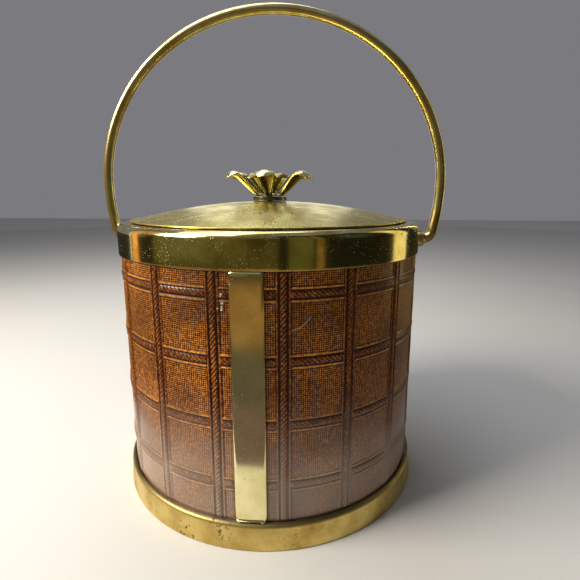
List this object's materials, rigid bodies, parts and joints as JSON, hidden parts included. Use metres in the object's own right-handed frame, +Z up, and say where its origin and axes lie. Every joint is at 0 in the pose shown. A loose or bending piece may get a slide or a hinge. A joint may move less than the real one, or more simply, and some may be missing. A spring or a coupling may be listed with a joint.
{
  "type": "ice bucket",
  "caption": "Insulated cylindrical ice bucket with embossed vinyl sides, brass bands, a domed lift-off lid with a flower knob, and an arched swinging bail.",
  "frame": {"origin": "centre of the bucket's footprint, on the surface it stands on", "axes": "+Z up along the drum's axis; the front strap faces -Y; the bail pivots lie on a line along X"},
  "size_m": [0.2352, 0.2068, 0.3117],
  "materials": {
    "polished_brass": "polished brass plate, lightly tarnished and speckled",
    "lid_brass": "satin brass plate, dull with fine speckles",
    "petal_brass": "bright stamped brass with dark recesses",
    "rod_brass": "polished brass plated rod",
    "embossed_vinyl": "brown vinyl embossed with a rope plaid, lacquered sheen",
    "zinc_steel": "zinc plated sheet steel",
    "white_foam": "expanded polystyrene bead foam",
    "ivory_plastic": "moulded ivory styrene, glossy",
    "black_rubber": "soft black rubber",
    "base_felt": "dark brown felt"
  },
  "bodies": {
    "bucket": {"base_band": "polished_brass", "bottom_plate": "zinc_steel", "base_pad": "base_felt", "outer_shell": "zinc_steel", "vinyl_wrap": "embossed_vinyl", "insulation_sleeve": "white_foam", "insulation_base": "white_foam", "inner_liner": "ivory_plastic", "rim_gasket": "black_rubber", "collar_band": "polished_brass", "front_strap": "polished_brass", "rear_strap": "polished_brass", "left_pivot_boss": "polished_brass", "right_pivot_boss": "polished_brass", "left_pivot_washer": "zinc_steel", "right_pivot_washer": "zinc_steel"},
    "bail": {"bail_handle": "rod_brass", "left_push_nut": "zinc_steel", "right_push_nut": "zinc_steel"},
    "lid": {"lid_dome": "lid_brass", "lid_inner_pan": "ivory_plastic", "lid_insulation": "white_foam", "lid_seal": "black_rubber", "knob_base": "petal_brass", "knob_petals_outer": "petal_brass", "knob_petals_inner": "petal_brass", "knob_stud": "zinc_steel", "knob_cap": "petal_brass", "knob_washer": "zinc_steel", "knob_nut": "zinc_steel"}
  },
  "joints": [
    {"name": "bail_swing", "type": "hinge", "parent": "bucket", "child": "bail", "pos_m": [0, 0, 0.1642], "axis": [1, 0, 0], "range_deg": [-132, 132]},
    {"name": "lid_lift", "type": "slide", "parent": "bucket", "child": "lid", "axis": [0, 0, 1], "range_m": [0, 0.065]}
  ]
}
